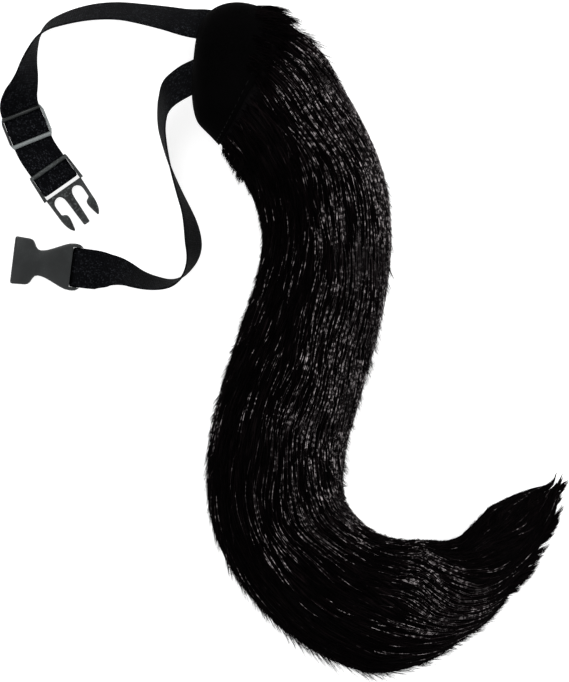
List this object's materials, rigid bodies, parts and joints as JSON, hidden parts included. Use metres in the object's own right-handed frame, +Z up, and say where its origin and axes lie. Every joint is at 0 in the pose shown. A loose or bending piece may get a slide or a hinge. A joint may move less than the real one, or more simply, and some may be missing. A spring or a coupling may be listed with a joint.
{
  "type": "costume animal tail on a waist strap",
  "caption": "Stuffed fur-covered costume tail lying in an S curve, with a domed end panel, webbing straps, a slide adjuster and an open side-release buckle.",
  "frame": {"origin": "on the surface that the tail lies on, under the middle of the layout's box", "axes": "+Z up from the surface, +Y towards the blunt end with the straps, +X towards the side where the tip ends"},
  "size_m": [0.3738, 0.4487, 0.0774],
  "materials": {
    "fur": "long-pile black faux fur with a soft sheen",
    "panel": "smooth black cloth, matt",
    "webbing": "woven black webbing, matt",
    "plastic": "moulded dark grey plastic, satin"
  },
  "bodies": {
    "root": {"tail_body": "fur", "base_cap": "panel", "upper_strap": "webbing", "lower_strap": "webbing", "slide_adjuster": "plastic", "buckle_male": "plastic", "buckle_female": "plastic"}
  },
  "joints": []
}
